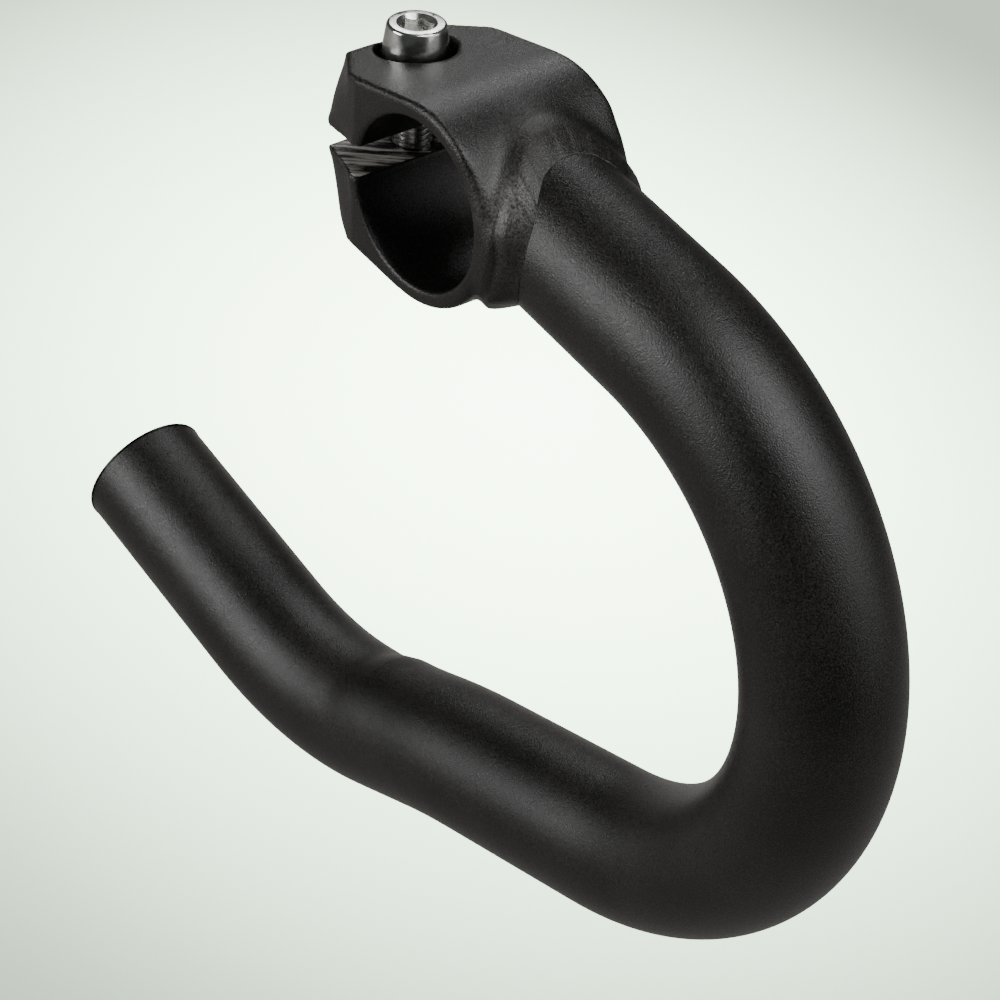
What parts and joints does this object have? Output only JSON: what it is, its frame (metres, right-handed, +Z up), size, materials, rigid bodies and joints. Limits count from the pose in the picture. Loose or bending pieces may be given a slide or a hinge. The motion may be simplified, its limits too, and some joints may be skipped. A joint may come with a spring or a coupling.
{
  "type": "bicycle bar end",
  "caption": "Bicycle bar end: a bent hollow tube welded to a split handlebar clamp, with a socket-head clamp screw and a plug in the tube's end.",
  "frame": {"origin": "centre of the handlebar bore in the clamp", "axes": "+X the way the tube leaves the clamp, +Y along the handlebar away from the open front face, +Z up"},
  "size_m": [0.1406, 0.024, 0.1287],
  "materials": {
    "black_anodised": "satin bead-blasted black anodised",
    "weld_metal": "black anodised weld, ground and rippled",
    "black_plastic": "glossy black moulded",
    "bright_steel": "bright nickel-plated steel"
  },
  "bodies": {
    "bar_end": {"clamp_head": "black_anodised", "weld_bead": "weld_metal", "bar_tube": "black_anodised", "end_plug": "black_plastic"},
    "clamp_screw": {"clamp_screw": "bright_steel"}
  },
  "joints": [
    {"name": "clamp_screw_travel", "type": "slide", "parent": "bar_end", "child": "clamp_screw", "axis": [-0.225, 0, 0.9744], "range_m": [-0.0015, 0.006]}
  ]
}
